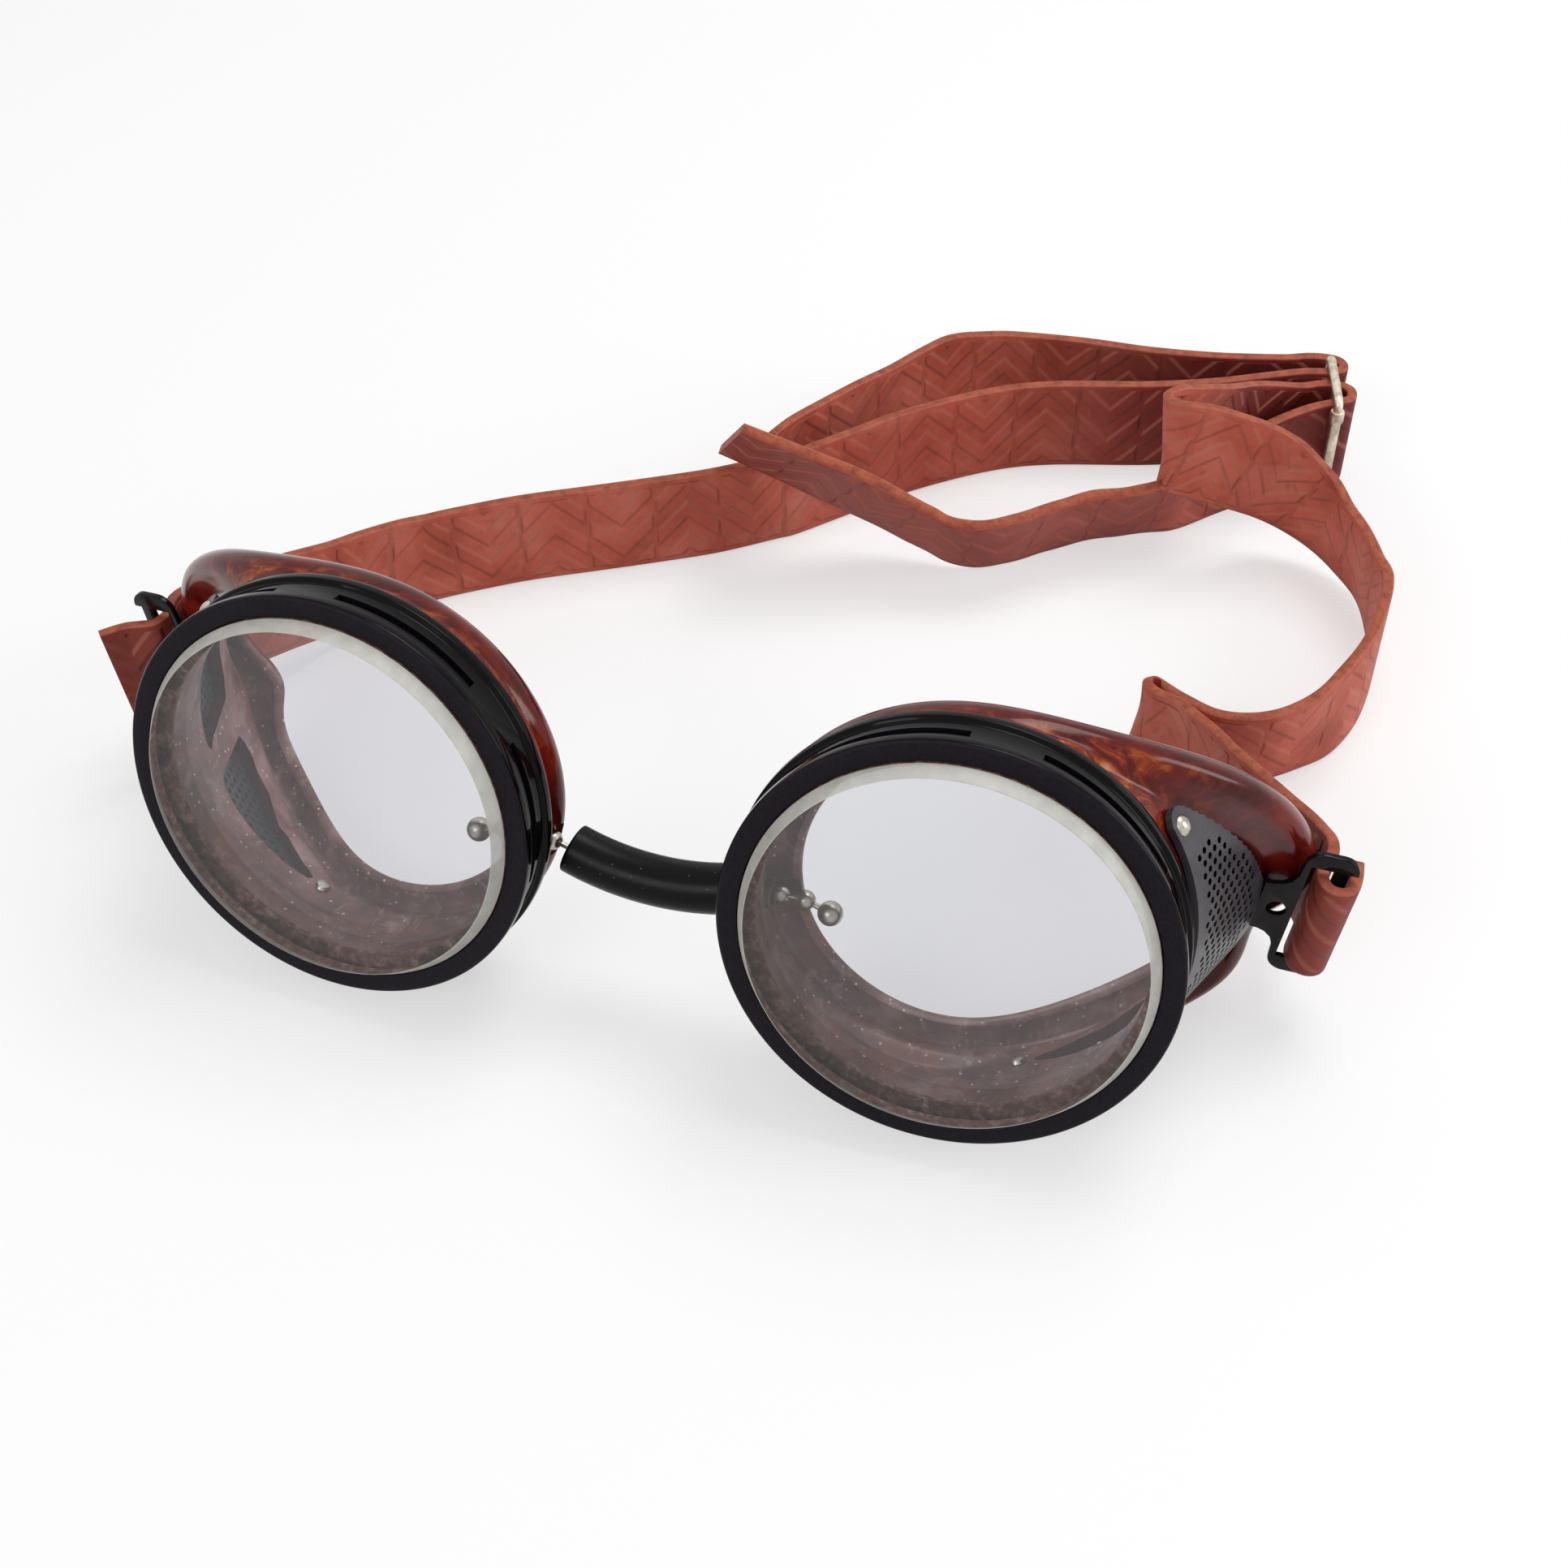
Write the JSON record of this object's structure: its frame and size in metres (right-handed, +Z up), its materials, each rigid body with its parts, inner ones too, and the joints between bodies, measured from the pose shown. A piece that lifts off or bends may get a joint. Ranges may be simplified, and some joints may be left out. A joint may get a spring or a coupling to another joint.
{
  "type": "goggles",
  "caption": "Round-lens safety goggles with tortoiseshell eyecups, perforated side shields, screw-on lens rings and a bead chain bridge on an embossed two-piece strap.",
  "frame": {"origin": "middle of the box around the goggles as they lie on the table, at table height", "axes": "+X towards the wearer's left-hand cup in the picture's right half, +Y from the lenses back towards the strap, +Z up from the table"},
  "size_m": [0.1668, 0.1546, 0.0544],
  "materials": {
    "tortoiseshell": "polished moulded tortoiseshell",
    "ring": "turned black, matt front and glossy skirt",
    "lens_glass": "clear with a frosted bevel",
    "gasket": "matt",
    "enamel": "satin black enamel",
    "nickel": "aged nickel plate",
    "brass": "aged",
    "sleeve_rubber": "satin",
    "strap": "embossed matt"
  },
  "bodies": {
    "bridge": {"chain_beads": "nickel", "chain_links": "nickel", "left_strap": "strap", "right_strap": "strap", "buckle_frame": "nickel", "buckle_bar": "nickel"},
    "sleeve": {"bridge_sleeve": "sleeve_rubber"},
    "left_cup": {"left_eyecup": "tortoiseshell", "left_side_shield": "enamel", "left_shield_rivets": "nickel", "left_chain_eyelet": "brass"},
    "left_glass": {"left_lens": "lens_glass", "left_lens_gasket": "gasket"},
    "left_ring": {"left_lens_ring": "ring"},
    "right_cup": {"right_eyecup": "tortoiseshell", "right_side_shield": "enamel", "right_shield_rivets": "nickel", "right_chain_eyelet": "brass"},
    "right_glass": {"right_lens": "lens_glass", "right_lens_gasket": "gasket"},
    "right_ring": {"right_lens_ring": "ring"}
  },
  "joints": [
    {"name": "sleeve_shift", "type": "hinge", "parent": "bridge", "child": "sleeve", "pos_m": [0.00213, -0.04316, 0.05277], "axis": [0, -0.866, 0.5], "range_deg": [-2.4, 0.4]},
    {"name": "left_cup_swing", "type": "hinge", "parent": "bridge", "child": "left_cup", "pos_m": [-0.01317, -0.06116, 0.0216], "axis": [0, 0, 1], "range_deg": [-9, 9], "deforming": ["left_strap"]},
    {"name": "left_glass_lift", "type": "slide", "parent": "left_cup", "child": "left_glass", "axis": [-0.0421, -0.965, 0.2588], "range_m": [0, 0.0036]},
    {"name": "left_ring_unscrew", "type": "hinge", "parent": "left_glass", "child": "left_ring", "pos_m": [-0.03727, -0.06956, 0.0283], "axis": [-0.0421, -0.965, 0.2588], "range_deg": [0, 1080]},
    {"name": "right_cup_swing", "type": "hinge", "parent": "bridge", "child": "right_cup", "pos_m": [0.01603, -0.06116, 0.0216], "axis": [0, 0, -1], "range_deg": [-9, 4.5], "deforming": ["right_strap"]},
    {"name": "right_glass_lift", "type": "slide", "parent": "right_cup", "child": "right_glass", "axis": [0.0421, -0.965, 0.2588], "range_m": [0, 0.0036]},
    {"name": "right_ring_unscrew", "type": "hinge", "parent": "right_glass", "child": "right_ring", "pos_m": [0.04013, -0.06956, 0.0283], "axis": [0.0421, -0.965, 0.2588], "range_deg": [0, 1080]}
  ],
  "couplings": [
    {"joint": "left_glass_lift", "follows": "left_ring_unscrew", "m_per_rad": 0.00019099},
    {"joint": "right_glass_lift", "follows": "right_ring_unscrew", "m_per_rad": 0.00019099}
  ]
}
